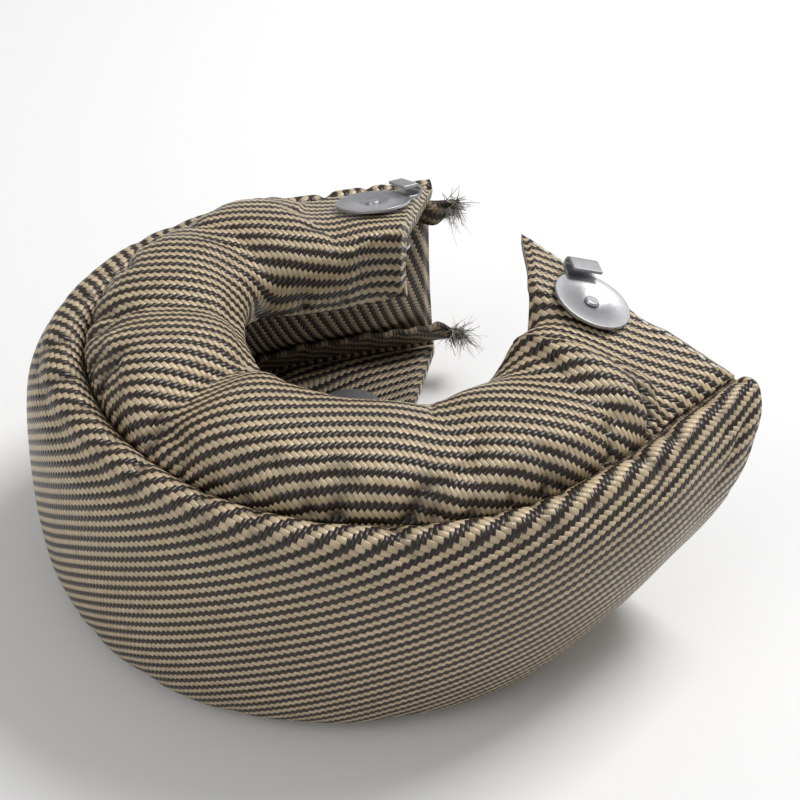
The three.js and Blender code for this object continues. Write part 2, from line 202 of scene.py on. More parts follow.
def stations(u):
    """Everything that changes along the C, for an array of u from 0 at the left end to 1 at the tip."""
    u = np.asarray(u, float)
    seam = curve_through(SEAM_POINTS, u)
    rim = curve_through(RIM_POINTS, u)
    step = 1e-4
    along = curve_through(SEAM_POINTS, u + step) - curve_through(SEAM_POINTS, u - step)
    along /= np.linalg.norm(along, axis=-1, keepdims=True)
    place = u * LAST
    left = 1 - smooth(place, 0, 1.6)
    slope = 1 - smooth(place, 0, 2.8)
    width = np.linalg.norm(rim - seam, axis=-1)
    body_bulge = lerp(BAND_BULGE, RIGHT_BULGE, smooth(place, 3.5, 8))
    body_tuck = lerp(-FOOT_FLARE, RIGHT_TUCK, smooth(place, 5.3, 10.2))
    return {
        "u": u,
        "seam": flat(seam),
        "rim": flat(rim),
        "inward": flat((rim - seam) / width[..., None]),
        "width": width,
        "outward": flat(np.stack([along[..., 1], -along[..., 0]], axis=-1)),
        "puff": PUFF * lerp(1, LEFT_PUFF, slope),
        "crest_rise": LEFT_RIM_RISE * slope,
        "roll": LEFT_ROLL * slope,
        "flap_rise": TIP_RISE * smooth(place, 8.6, 10.3) - END_DROOP * smooth(place, 10, LAST),
        "fullness": (1 - smooth(place, 9.3, 10.2)) * lerp(1, 0.7, left),
        "band_fullness": smooth(place, -0.3, 0.6) * (1 - smooth(place, 10.4, LAST + 0.3)),
        "back_fullness": smooth(place, 0.3, 2.6) * (1 - smooth(place, 9, 10.4)),
        "bulge": lerp(END_BULGE, body_bulge, smooth(place, 1.2, 4)),
        "lip": lerp(END_LIP, LIP, smooth(place, 1.2, 3.5)),
        "tuck": lerp(LEFT_TUCK, body_tuck, smooth(place, 1.5, 4)),
        "lift": BACK_LIFT * (1 - smooth(place, 1.2, 2.6) + smooth(place, 8.3, 9.5)),
    }


# %% [markdown]
# Each wall is a sandwich. Its outer face and its lining's face are two surfaces over the same grid:
# u runs along the C and v across the wall. The sections below hold a few knots, and a smooth curve
# runs through them, so that the fine mesh stays on the part's own shape.

# %% Front wall
FOLDS = (
    (0.105, 0.2, 0.026, 0),
    (0.225, 0.2, 0.026, 0.01),
    (0.365, 0.2, 0.024, 0.005),
    (0.515, 0.5, 0.028, -0.075),
    (0.7, 0.2, 0.03, 0.01),
    (0.83, 0.25, 0.026, -0.01),
)
FRONT_OUTER = (
    (0, 0), (0.005, 0.45), (0.1, 0.85), (0.33, 1), (0.62, 0.98),
    (0.865, 0.73), (0.985, 0.23), (0.967, -0.3), (0.91, -0.63),
)
FRONT_LINING = (
    (0.09, 0), (0.12, -0.15), (0.18, -0.33), (0.36, -0.47), (0.56, -0.5), (0.7, -0.5), (0.755, -0.49),
    (0.79, -0.53), (0.82, -0.61),
)


def fold_factor(u, v):
    factor = 1.0
    for at, depth, width, lean in FOLDS:
        factor = factor - depth * np.exp(-(((u - at - lean * v) / width) ** 2))
    return factor


def front_face(u, v, outer):
    """Points of the front wall for 1-D u and v, as an array of u by v by 3."""
    s = stations(u)
    knots = curve_through(FRONT_OUTER if outer else FRONT_LINING, v, free_ends=False)
    fullness = s["fullness"][:, None]
    across = lerp(v[None, :], knots[None, :, 0], fullness)
    crown = knots[None, :, 1]
    puffed = s["puff"][:, None] * fold_factor(u[:, None], v[None, :])
    full = crown * np.where(crown > 0, puffed, PUFF)
    points = s["seam"][:, None] + s["inward"][:, None] * (across * s["width"][:, None])[..., None]
    thin = EDGE if outer else 0
    raised = lerp(LINING_RISE, 1, smooth(crown, -0.63, 0.23)) if outer else LINING_RISE
    rise = (s["flap_rise"][:, None] + s["crest_rise"][:, None] * raised) * across
    hang = s["roll"][:, None] * smooth(v, 0.6, 0.95)[None, :] * (1 - raised if outer else 1)
    points[..., 2] = SEAM_HEIGHT + rise - hang + lerp(thin, full, fullness)
    return points


# %% Band
BAND_OUTER = (
    (0.32, 0.01, 0), (0.8, 0.1, 0), (0.98, 0.34, 0), (1, 0.64, 0), (0.9, 0.9, 0),
    (0.66, 1, 0.6), (0.34, 1, 1), (0.08, 1, 0.55), (0, 1, 0),
)
ALLOWANCE_THICKNESS = 1.6


def band_knot(u, k, outer):
    """The band's knot k for 1-D u, from 0 at the foot to 8 at the seam."""
    share, rise, lip = BAND_OUTER[k]
    s = stations(u * lerp(FOOT_END, 1, rise))
    top = SEAM_HEIGHT
    out = GAP + share * (s["bulge"] - GAP)
    height = rise * top + lip * s["lip"]
    if not outer:
        face = s["bulge"] - lerp(EDGE, BAND_PAD, s["band_fullness"])
        out, height = (
            (out, height + EDGE),
            (np.maximum(face, out - EDGE) + 0.5, 0.17 * top),
            (face, 0.34 * top),
            (face, 0.6 * top),
            (np.maximum(face, ALLOWANCE_THICKNESS) + 0.5, 0.82 * top),
            (EDGE + 0.6, top - 5),
            (EDGE + 1.2, top - 2),
            (EDGE + 0.8, top - 0.4),
            (EDGE + GAP, top),
        )[k]
    height = height + np.zeros_like(u)
    low = 1 - np.minimum(1, height / top)
    points = s["seam"] + s["outward"] * (out - s["tuck"] * low**TUCK_CURVE)[:, None]
    points[:, 2] = height + s["lift"] * low
    return points


def band_face(u, v, outer):
    knots = np.stack([band_knot(u, k, outer) for k in range(len(BAND_OUTER))])
    return curve_through(knots, v, free_ends=False).transpose(1, 0, 2)


# %% Back wall
BACK_OUTER = ((0.02, 0.42), (0.03, 0.12), (0.14, 0), (0.42, 0), (0.7, 0), (0.9, 0), (1, 0.05))
BACK_LINING = ((0.06, 0.74), (0.12, 0.9), (0.22, 1), (0.44, 1), (0.64, 0.96), (0.86, 0.5), (1, 0.38))


def back_knot(u, k, outer):
    """The back wall's knot k for 1-D u, from 0 at the bore's rim to 6 at the band's foot."""
    across, rise = (BACK_OUTER if outer else BACK_LINING)[k]
    s = stations(u * FOOT_END)
    foot = band_knot(u, 0, outer) - s["outward"] * GAP
    foot[:, 2] = 0
    share = lerp(k / (len(BACK_OUTER) - 1), across, s["back_fullness"])
    points = s["rim"] + (foot - s["rim"]) * share[:, None]
    thin = 0 if outer else EDGE
    points[:, 2] = s["lift"] + lerp(thin, rise * BACK_PAD, s["back_fullness"])
    return points


def back_face(u, v, outer):
    knots = np.stack([back_knot(u, k, outer) for k in range(len(BACK_OUTER))])
    return curve_through(knots, v, free_ends=False).transpose(1, 0, 2)


# %% [markdown]
# Four hook discs are riveted through the walls beside the gap. Each presses the padding flat round its
# rivet. The seat of a disc is its plane on the cover, with an axis that points away from the wall.

# %% Seats of the hook discs
PRESSED_RADIUS = 13
PRESS_FADE = 7
SEAT_STEP = 0.02


def fastener(face, at, pinch, sink, hook):
    """A disc at u and v of a face: wall thickness held, depth sunk in, and the hook's way in plan."""
    return {"face": face, "at": at, "pinch": pinch, "sink": sink, "hook": hook}


FASTENERS = {
    "front_right": fastener(front_face, (0.95, 0.64), EDGE + 1.4, 0.2, (-0.28, 0.96)),
    "front_left": fastener(front_face, (0.05, 0.43), 8.5, 0.8, (0.84, 0.54)),
    "back_left": fastener(back_face, (0.1, 0.3), EDGE + 0.5, 0.2, (0.9, 0.44)),
    "back_right": fastener(back_face, (0.972, 0.5), EDGE + 0.5, 0.2, (-0.28, 0.96)),
}


def find_seats():
    for one in FASTENERS.values():
        u, v = one["at"]
        near_u = np.array([u - SEAT_STEP, u, min(u + SEAT_STEP, 1)])
        near_v = np.array([v - SEAT_STEP, v, v + SEAT_STEP])
        grid = one["face"](near_u, near_v, True)
        axis = np.cross(grid[2, 1] - grid[0, 1], grid[1, 2] - grid[1, 0])
        one["axis"] = axis / np.linalg.norm(axis)
        one["seat"] = grid[1, 1] - one["axis"] * one["sink"]


find_seats()


def press_at(one, points):
    """How high points stand above a disc's plane, and how firmly they are held there."""
    away = points - one["seat"]
    height = away @ one["axis"]
    aside = np.sqrt(np.maximum(0, (away**2).sum(-1) - height**2))
    return height, 1 - smooth(aside, PRESSED_RADIUS, PRESSED_RADIUS + PRESS_FADE)


def press(face, outer, lining):
    """Presses a wall's two faces flat under its discs and washers, but never thinner than its edge."""
    for one in FASTENERS.values():
        if one["face"] is not face:
            continue
        axis = one["axis"]
        height, hold = press_at(one, outer)
        push = np.minimum(0, -height) * hold
        outer = outer + axis * push[..., None]
        lining = lining + axis * push[..., None]
        depth, hold = press_at(one, lining)
        across = lining - outer
        across = across - axis * (across @ axis)[..., None]
        aside = np.linalg.norm(across, axis=-1)
        below = height + push - np.sqrt(np.maximum(0, EDGE**2 - aside**2))
        limit = np.where(aside < EDGE, np.minimum(-one["pinch"], below), -one["pinch"])
        lining = lining + axis * (np.maximum(0, limit - depth) * hold)[..., None]
    return outer, lining


# %% From the plan to the row's own place
def plan_shift():
    """The plan has the bore's axis at 0, 0. The band's box in the frame says where that lies in the row."""
    knots = np.concatenate([band_knot(np.linspace(0, 1, 34), k, True) for k in range(len(BAND_OUTER))])
    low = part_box("band_cover")[0]
    return np.array([low.x / MM - knots[:, 0].min(), low.y / MM - knots[:, 1].min(), 0])


SHIFT = plan_shift()
print("plan to row, mm:", SHIFT.round(3))


def wall_pair(face, columns, rows):
    u = np.linspace(0, 1, columns)
    v = np.linspace(0, 1, rows)
    outer, lining = press(face, face(u, v, True), face(u, v, False))
    return outer + SHIFT, lining + SHIFT


# %% [markdown]
# A layer of cloth or wool is a slab: a grid for one face, extruded into the other, then bent into place.
# The grid's own flat coordinates say which column and row a vertex belongs to, so the bend is one
# look-up for each vertex, and the extrusion has already closed the edges.

# %% Slabs
def grid_mesh(name, columns, rows, closed):
    """A flat grid, or a closed layer of two, with the column, row and height of each vertex."""
    bm = bmesh.new()
    bmesh.ops.create_grid(bm, x_segments=columns - 1, y_segments=rows - 1, size=0.5)
    if closed:
        extruded = bmesh.ops.extrude_face_region(bm, geom=bm.faces[:])
        copies = [item for item in extruded["geom"] if isinstance(item, bmesh.types.BMVert)]
        bmesh.ops.translate(bm, verts=copies, vec=(0, 0, 1))
        bmesh.ops.recalc_face_normals(bm, faces=bm.faces[:])
    mesh = bpy.data.meshes.new(name)
    bm.to_mesh(mesh)
    bm.free()
    plain = np.zeros(len(mesh.vertices) * 3)
    mesh.vertices.foreach_get("co", plain)
    plain = plain.reshape(-1, 3)
    i = np.rint((plain[:, 0] + 0.5) * (columns - 1)).astype(int)
    j = np.rint((plain[:, 1] + 0.5) * (rows - 1)).astype(int)
    return mesh, i, j, plain[:, 2:]


def turned_inward(outer, inner):
    """True if the grid of an outer face is wound so that its normals point to the inner face."""
    i, j = outer.shape[0] // 2, outer.shape[1] // 2
    turn = np.cross(outer[i + 1, j] - outer[i, j], outer[i, j + 1] - outer[i, j])
    return turn @ (outer[i, j] - inner[i, j]) < 0


def add_piece(name, mesh):
    piece = bpy.data.objects.new(name, mesh)
    bpy.context.scene.collection.objects.link(piece)
    return piece


def smooth_faces(mesh):
    mesh.polygons.foreach_set("use_smooth", np.ones(len(mesh.polygons), bool))


def slab(name, top, bottom, cloth, pleat_shade_depth=None):
    """A closed layer between two faces, with cloth coordinates in metres as its UV map."""
    columns, rows = top.shape[:2]
    mesh, i, j, height = grid_mesh(name, columns, rows, True)
    placed = np.where(height > 0.5, top[i, j], bottom[i, j]) * MM
    mesh.vertices.foreach_set("co", placed.ravel())
    if pleat_shade_depth is not None:
        shade = mesh.attributes.new("pleat_shade_depth", "FLOAT", "POINT")
        shade.data.foreach_set("value", pleat_shade_depth[i, j].astype(np.float32))
    corner = np.zeros(len(mesh.loops), int)
    mesh.loops.foreach_get("vertex_index", corner)
    layer = mesh.uv_layers.new(name="cloth")
    layer.data.foreach_set("uv", (cloth[i, j] * MM)[corner].ravel())
    if turned_inward(top, bottom):
        mesh.flip_normals()
    smooth_faces(mesh)
    mesh.update()
    return add_piece(name, mesh)


HEM_STEPS = 4
LAYER_SLIT = 0.1


def edge_steps(columns, rows):
    """How many grid steps each point lies from the nearest edge."""
    i = np.arange(columns)
    j = np.arange(rows)
    return np.minimum(np.minimum(i, i[::-1])[:, None], np.minimum(j, j[::-1])[None, :])


def layers(name, outer, lining, cloth, keep, pleat_shade_depth):
    """The three layers of a wall. Cover and lining meet at the edges, and the wool ends inside them."""
    thickness = np.linalg.norm(lining - outer, axis=-1, keepdims=True)
    toward = (lining - outer) / thickness
    in_hem = 1 - smooth(edge_steps(*outer.shape[:2]), 0, HEM_STEPS)
    spare = (thickness - 2 * CLOTH - LAYER_SLIT) * in_hem[..., None]
    top = outer + toward * spare * (1 - keep)[:, None, None]
    bottom = lining - toward * spare * keep[:, None, None]
    cover = slab(f"{name}_cover_cloth", top, top + toward * CLOTH, cloth, pleat_shade_depth)
    back = slab(f"{name}_lining_cloth", bottom, bottom - toward * CLOTH, cloth)
    inside = (slice(HEM_STEPS, -HEM_STEPS, 2), slice(HEM_STEPS, -HEM_STEPS, 2))
    wool_top = (outer + toward * (CLOTH + GAP))[inside]
    wool_bottom = (outer + toward * (thickness - CLOTH - GAP))[inside]
    wool = slab(f"{name}_wool_filling", wool_top, wool_bottom, cloth[inside])
    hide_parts(f"{name}_cover")
    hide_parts(f"{name}_wool")
    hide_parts(f"{name}_lining")
    for piece in (cover, wool, back):
        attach(piece, "root")
    print(name, "cover", len(cover.data.polygons), "faces, wool", len(wool.data.polygons))
    return cover, wool, back


# %% [markdown]
# The weave follows the cloth, so each cover carries coordinates of the flat panel that it was cut from.
# The two walls are flat panels. The band is a strip on a gentle curve, and its twill lies at a slant.

# %% Cloth coordinates
def run_length(points, axis):
    """Length along an axis of a grid of points, from its start."""
    steps = np.linalg.norm(np.diff(points, axis=axis), axis=-1)
    pad = [(0, 0), (0, 0)]
    pad[axis] = (1, 0)
    return np.cumsum(np.pad(steps, pad), axis=axis)


def turned(flat_points, degrees):
    """Flat cloth points in the weave's own axes, for a twill line at this angle."""
    angle = math.radians(degrees + 45)
    x, y = flat_points[..., 0], flat_points[..., 1]
    return np.stack(
        [x * math.cos(angle) + y * math.sin(angle), -x * math.sin(angle) + y * math.cos(angle)], axis=-1
    )


EASE = 1.15  # how much longer the puffed wall is across than its panel in the weave


def panel_cloth(outer, u, twill_angle):
    """Cloth coordinates of a flat panel: its plan, with the true distance across the wall."""
    s = stations(u)
    across = run_length(outer, 1) / EASE
    across = across - across[:, across.shape[1] // 2][:, None]
    middle = (s["seam"] + s["rim"])[:, None, :2] / 2
    return turned(middle + s["inward"][:, None, :2] * across[..., None], twill_angle)


def strip_cloth(outer, turn_degrees, twill_angle):
    """Cloth coordinates of a strip that was cut on a gentle curve, turning by this much in all."""
    rows = outer.shape[1]
    along = run_length(outer[:, rows // 2][:, None], 0)[:, 0]
    share = along / along[-1]
    heading = np.radians(turn_degrees) * (share - 0.5)
    step = np.diff(along, prepend=0)
    centre = np.cumsum(np.stack([np.cos(heading), np.sin(heading)], axis=-1) * step[:, None], axis=0)
    up = np.stack([-np.sin(heading), np.cos(heading)], axis=-1)
    height = run_length(outer, 1)
    height = height - height[:, rows // 2][:, None]
    return turned(centre[:, None] + up[:, None] * height[..., None], twill_angle)


# %% [markdown]
# The covers are cut wider than their filling, so the cloth swells between the seams and wrinkles beside
# them. A short cloth simulation does the swelling: each cover's sheet is held along its seams, is given
# some slack and is blown outward. It runs ten times larger than life, because the solver suits metres
# better than millimetres, and the wool is rebuilt from the settled cover afterwards.

# %% Settle the covers
SIM_SCALE = 10
SIM_FRAMES = 20
SLACK = 0.05
MOST_MOVE = 2.6
THINNEST = 5.5
STEPS_A_FRAME = 6
BENDING = 0.4
LEAST_HOLD = 0.01


def resample(coarse, columns, rows):
    along = curve_through(coarse, np.linspace(0, 1, columns), free_ends=False)
    across = curve_through(along.transpose(1, 0, 2), np.linspace(0, 1, rows), free_ends=False)
    return across.transpose(1, 0, 2)


def settle(name, outer, lining, firm, pressure):
    """How far the points of a cover move, in mm, when its slack cloth is blown out over the filling."""
    coarse = outer[::2, ::2]
    mesh, i, j, _ = grid_mesh(name, *coarse.shape[:2], False)
    start = coarse[i, j] * MM * SIM_SCALE
    mesh.vertices.foreach_set("co", start.ravel())
    if turned_inward(coarse, lining[::2, ::2]):
        mesh.flip_normals()
    sheet = add_piece(name, mesh)
    pins = sheet.vertex_groups.new(name="held")
    hold = firm[::2, ::2][i, j]
    for index in np.flatnonzero(hold > LEAST_HOLD):
        pins.add([int(index)], float(hold[index]), "REPLACE")
    cloth = sheet.modifiers.new("cloth", "CLOTH")
    cloth.point_cache.frame_end = SIM_FRAMES
    cloth.settings.vertex_group_mass = "held"
    cloth.settings.quality = STEPS_A_FRAME
    cloth.settings.bending_stiffness = BENDING
    cloth.settings.shrink_min = -SLACK
    cloth.settings.use_pressure = True
    cloth.settings.uniform_pressure_force = pressure
    cloth.settings.effector_weights.gravity = 0
    for frame in range(1, SIM_FRAMES + 1):
        bpy.context.scene.frame_set(frame)
    settled = sheet.evaluated_get(bpy.context.evaluated_depsgraph_get()).to_mesh()
    ended = np.zeros(len(settled.vertices) * 3)
    settled.vertices.foreach_get("co", ended)
    bpy.context.scene.frame_set(1)
    bpy.data.objects.remove(sheet)
    moved = np.zeros(coarse.shape)
    moved[i, j] = (ended.reshape(-1, 3) - start) / MM / SIM_SCALE
    size = np.linalg.norm(moved, axis=-1, keepdims=True) + 1e-9
    print(name, "moved by", round(float(size.mean()), 2), "mm, at most", round(float(size.max()), 2))
    moved *= MOST_MOVE * np.tanh(size / MOST_MOVE) / size
    return resample(moved, *outer.shape[:2])


# %% [markdown]
# The simulation's grid is too coarse for the small pleats of a gathered seam, so those are pressed into
# the cover afterwards. Each one runs in from the seam, leans a little, widens and fades out.

# %% Pleats along the seams
PLEAT_LEAN = 0.7
PLEAT_WIDTHS = (0.8, 1.9)
PLEAT_SPREAD = 0.08
SEAM_FADE = (0.2, 2.5)


def outward_normals(outer, lining):
    turn = np.cross(np.gradient(outer, axis=0), np.gradient(outer, axis=1))
    turn /= np.linalg.norm(turn, axis=-1, keepdims=True) + 1e-9
    middle = (outer.shape[0] // 2, outer.shape[1] // 2)
    return turn if turn[middle] @ (outer - lining)[middle] > 0 else -turn


def pleats(outer, from_end, seed, spacing, depth, reach):
    """Depth in mm of the small pleats that run in from a gathered edge."""
    rng = np.random.default_rng(seed)
    row = -1 if from_end else 0
    along = run_length(outer[:, row][:, None], 0)
    across = run_length(outer, 1)
    if from_end:
        across = across[:, -1:] - across
    total = 0 * across
    place = rng.uniform(0, spacing)
    while place < along[-1, 0]:
        lean = rng.uniform(-PLEAT_LEAN, PLEAT_LEAN)
        width = rng.uniform(*PLEAT_WIDTHS)
        far = reach * rng.uniform(0.5, 1.5)
        deep = depth * rng.uniform(0.4, 1.2)
        ridge = np.exp(-(((along - place - lean * across) / (width + PLEAT_SPREAD * across)) ** 2))
        total = total + deep * ridge * np.exp(-((across / far) ** 2))
        place += spacing * rng.uniform(0.45, 1.6)
    return total * smooth(across, *SEAM_FADE)


# %% [markdown]
# Now the three walls are made: the two faces, the settled and gathered cover, then the three layers.
# Parts of the simulation that would sink into the filling are dropped, and nothing goes below the floor.

# %% Build the walls
COLUMNS = 421
FRONT_ROWS = 73
BAND_ROWS = 85
BACK_ROWS = 41
PIN_ROWS = 3
DISC_HOLD = 0.3
PRESSURE = 3.0


def firmness(face, outer):
    """1 where a cover is held: along its edges and under its discs."""
    held = (edge_steps(*outer.shape[:2]) < PIN_ROWS).astype(float)
    for one in FASTENERS.values():
        if one["face"] is face:
            held = np.maximum(held, press_at(one, outer - SHIFT)[1] > DISC_HOLD)
    return held


def cover_wall(name, face, rows, pressure, gathers, keep, cloth):
    """A wall with its cover settled and gathered. Each gather is what pleats() takes after outer."""
    outer, lining = wall_pair(face, COLUMNS, rows)
    plain = outer
    firm = firmness(face, outer)
    thickness = np.linalg.norm(lining - outer, axis=-1, keepdims=True)
    moved = settle(f"{name}_settling", outer, lining, firm, pressure)
    normals = outward_normals(outer, lining)
    sunk = sum(pleats(outer, *gather) for gather in gathers) * (1 - firm)
    swell = (moved * normals).sum(-1)
    thick_enough = smooth(thickness, EDGE, THINNEST)
    outer = outer + (moved + normals * (np.maximum(0, -swell) - sunk)[..., None]) * thick_enough
    outer[..., 2] = np.maximum(outer[..., 2], plain[..., 2].min())
    # The pleats' depth is kept to paint shade into them.
    pleat_shade_depth = sunk * thick_enough[..., 0]
    print(name, "deepest pleat, mm:", pleat_shade_depth.max().round(2))
    return layers(name, outer, lining, cloth(plain), keep, pleat_shade_depth)


along_c = np.linspace(0, 1, COLUMNS)
front_keep = stations(along_c)["fullness"]
all_kept = np.ones(COLUMNS)
front_layers = cover_wall(
    "front", front_face, FRONT_ROWS, PRESSURE,
    [(False, 3, 9, 1.6, 9), (True, 4, 8, 0.8, 7)], front_keep,
    lambda outer: panel_cloth(outer, along_c, 0),
)
band_layers = cover_wall(
    "band", band_face, BAND_ROWS, PRESSURE,
    [(True, 5, 10, 1.5, 9), (False, 6, 6, 1.0, 7)], all_kept,
    lambda outer: strip_cloth(outer, 66, 40),
)
back_layers = cover_wall(
    "back", back_face, BACK_ROWS, 0.0,
    [(True, 8, 9, 0.3, 5)], 0.5 * all_kept,
    lambda outer: panel_cloth(outer, along_c * FOOT_END, 0),
)


# %% [markdown]
# Inside the jacket the cloth ends of two walls are gathered into one seam allowance. It waves more
# towards its cut edge and its loose tail, and the tail's yarns have come apart into tufts.

# %% Seam allowances
ALLOWANCE_HEIGHT = 8
ALLOWANCE_TAIL = 6
ALLOWANCE_LEAN = 30
TAIL_SHARE = 0.015
SEAM_LENGTH = ALLOWANCE_TAIL / TAIL_SHARE
PLY = 0.75
STRIP_COLUMNS = 301
STRIP_ROWS = 9
STRIP_TWILL = 20
END_RAISE = 1.8
WAVE_LENGTHS = (3.1, 4.7, 7.9)
WAVE_RATE = 2.2
WAVE_DEPTH = 0.8
WAVE_SHARES = (0.25, 0.9)
CRUMPLE = 0.25
FRONT_SEED = 21
BACK_SEED = 22


def allowance_frame(u, lower):
    """Base points, outward direction and lean of a seam allowance for 1-D u."""
    if not lower:
        s = stations(u)
        base = s["seam"] + s["outward"] * GAP / 2
        base[:, 2] = SEAM_HEIGHT - GAP - ALLOWANCE_HEIGHT + END_RAISE * smooth(u, 0.72, 0.8)
        return base, s["outward"], 0 * u
    s = stations(u * FOOT_END)
    base = band_knot(u, 0, False) - s["outward"] * ALLOWANCE_THICKNESS
    base[:, 2] += 7 * GAP
    lean = math.radians(ALLOWANCE_LEAN) * (1 - smooth(u * LAST, 4.5, 9.5))
    return base, s["outward"], lean


def allowance_points(u, v, lower, seed):
    """Middle of the strip for u by v, and the direction across it. v is 1 at its cut edge."""
    base, outward, lean = allowance_frame(np.maximum(u, 0), lower)
    rng = np.random.default_rng(seed)
    wave = 0 * u
    for length in WAVE_LENGTHS:
        wave = wave + np.sin(u * SEAM_LENGTH / length * WAVE_RATE + rng.uniform(0, 6.3))
    loose = lerp(*WAVE_SHARES, 1 - smooth(u, 0, 0.06))
    free = v if lower else 1 - v
    bend = (wave * loose)[:, None] * free[None, :] ** 1.5 * WAVE_DEPTH
    up = np.stack([0 * u, 0 * u, 1 + 0 * u], axis=-1)
    across = outward * np.cos(lean)[:, None] + up * np.sin(lean)[:, None]
    rise = up * np.cos(lean)[:, None] - outward * np.sin(lean)[:, None]
    tail = np.cross(outward, up) * (np.maximum(0, -u) * SEAM_LENGTH)[:, None]
    crumple = 1 - CRUMPLE * (1 - smooth(u, -0.01, 0.03))[:, None] * (1 + np.sin(v * 9)[None, :])
    points = (base + tail)[:, None] + rise[:, None] * (v[None, :] * ALLOWANCE_HEIGHT * crumple)[..., None]
    return points + across[:, None] * bend[..., None], across[:, None]


def make_allowance(name, lower, seed):
    u = np.linspace(-TAIL_SHARE, 1, STRIP_COLUMNS)
    v = np.linspace(0, 1, STRIP_ROWS)
    middle, across = allowance_points(u, v, lower, seed)
    middle = middle + SHIFT
    flat_strip = np.broadcast_arrays(u[:, None] * SEAM_LENGTH, v[None, :] * ALLOWANCE_HEIGHT)
    cloth = turned(np.stack(flat_strip, axis=-1), STRIP_TWILL)
    strip = slab(f"{name}_cloth", middle + across * PLY, middle - across * PLY, cloth)
    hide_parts(name)
    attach(strip, "root")
    return strip


front_strip = make_allowance("front_seam_allowance", False, FRONT_SEED)
back_strip = make_allowance("back_seam_allowance", True, BACK_SEED)
print("allowances", len(front_strip.data.polygons), len(back_strip.data.polygons))


# %% [markdown]
# A tuft is a curve object with one short bent spline for each fibre, given a round section and turned
# into a mesh. The pale fibres are broken glass-like filaments, and the brown ones are thicker yarn ends.

# %% Frayed yarns
ROOT_SCATTER = 0.35
HEADING_SCATTER = 0.42
CURL_SCATTER = 0.5
FIBRE_SAG = 0.25
FIBRE_BENDS = 5
FIBRE_TAPER = 0.5


def tuft(name, roots, heading, count, length, radius, seed):
    """Loose fibres that spring from root points, about a heading, as one mesh of thin bent tubes."""
    rng = np.random.default_rng(seed)
    curve = bpy.data.curves.new(name, "CURVE")
    curve.dimensions = "3D"
    curve.bevel_depth = radius * MM
    curve.bevel_resolution = 1
    curve.use_fill_caps = True
    for _ in range(count):
        root = roots[rng.integers(len(roots))] + rng.normal(0, ROOT_SCATTER, 3)
        way = np.asarray(heading, float) + rng.normal(0, HEADING_SCATTER, 3)
        way /= np.linalg.norm(way)
        curl = rng.normal(0, CURL_SCATTER, 3)
        curl[2] -= FIBRE_SAG
        run = length * rng.uniform(0.35, 1.0)
        spline = curve.splines.new("POLY")
        spline.points.add(FIBRE_BENDS)
        for k, point in enumerate(spline.points):
            t = k / FIBRE_BENDS
            place = (root + run * (way * t + curl * t * t)) * MM
            point.co = (*place, 1)
            point.radius = 1 - FIBRE_TAPER * t
    holder = add_piece(name, curve)
    mesh = bpy.data.meshes.new_from_object(holder)
    bpy.data.objects.remove(holder)
    piece = add_piece(name, mesh)
    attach(piece, "root")
    return piece


def tail_roots(lower, seed):
    ends = np.array([-TAIL_SHARE, -0.6 * TAIL_SHARE])
    return allowance_points(ends, np.linspace(0.1, 1, 9), lower, seed)[0].reshape(-1, 3) + SHIFT


UPPER_ROOTS = tail_roots(False, FRONT_SEED)
LOWER_ROOTS = tail_roots(True, BACK_SEED)
TAIL_WAY = np.cross(stations(np.array([0.0]))["outward"][0], (0, 0, 1))
pale_tufts = [
    tuft("front_pale_fray", UPPER_ROOTS, TAIL_WAY * 0.6 - (0, 0.2, 0.5), 110, 4.5, 0.07, 31),
    tuft("back_pale_fray", LOWER_ROOTS, TAIL_WAY * 0.5 - (0, 0.5, 0.1), 120, 5, 0.07, 32),
]
brown_tufts = [
    tuft("front_brown_fray", UPPER_ROOTS, TAIL_WAY * 0.8 + (0, 0, 0.1), 90, 3.5, 0.12, 33),
    tuft("back_brown_fray", LOWER_ROOTS, TAIL_WAY * 0.6 - (0, 0.5, 0), 100, 4, 0.12, 34),
]
print("fibre faces", sum(len(piece.data.polygons) for piece in pale_tufts + brown_tufts))


# %% [markdown]
# White thread shows along the flap's free end, close together by the tip and spaced out beyond the disc.

# %% Stitches
STITCH_RADIUS = 0.32
STITCH_HEIGHT = 0.4
STITCH_FLATNESS = 0.8
STITCH_SIDES = 8
STITCHED_U = 0.987
LINE_STEP = 0.004


def stitch_row(name, points, normals, length, gap):
    """White thread that shows as short stitches along a line of points on a cloth."""
    along = run_length(points[:, None], 0)[:, 0]
    bm = bmesh.new()
    place = gap
    while place + length < along[-1]:
        start = Vector([np.interp(place, along, points[:, k]) for k in range(3)])
        end = Vector([np.interp(place + length, along, points[:, k]) for k in range(3)])
        up = Vector([np.interp(place, along, normals[:, k]) for k in range(3)]).normalized()
        way = end - start
        turn = way.to_track_quat("X", "Z").to_matrix().to_4x4()
        middle = (start + end) / 2 + up * STITCH_RADIUS * STITCH_HEIGHT
        size = Matrix.Diagonal((way.length / 2, STITCH_RADIUS, STITCH_RADIUS * STITCH_FLATNESS, 1))
        matrix = Matrix.Scale(MM, 4) @ Matrix.Translation(middle) @ turn @ size
        bmesh.ops.create_uvsphere(
            bm, u_segments=STITCH_SIDES, v_segments=STITCH_SIDES, radius=1, matrix=matrix
        )
        place += length + gap
    mesh = bpy.data.meshes.new(name)
    bm.to_mesh(mesh)
    bm.free()
    smooth_faces(mesh)
    piece = add_piece(name, mesh)
    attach(piece, "root")
    return piece


def end_line(first, last):
    """Points and normals along the flap's free end, over a range of v."""
    points = []
    normals = []
    near_u = np.array([STITCHED_U - LINE_STEP, STITCHED_U, STITCHED_U + LINE_STEP])
    for v in np.linspace(first, last, 40):
        near_v = np.array([v - LINE_STEP, v, v + LINE_STEP])
        grid = press(front_face, front_face(near_u, near_v, True), front_face(near_u, near_v, False))[0]
        turn = np.cross(grid[2, 1] - grid[0, 1], grid[1, 2] - grid[1, 0])
        points.append(grid[1, 1] + SHIFT)
        normals.append(turn / np.linalg.norm(turn))
    return np.array(points), np.array(normals)


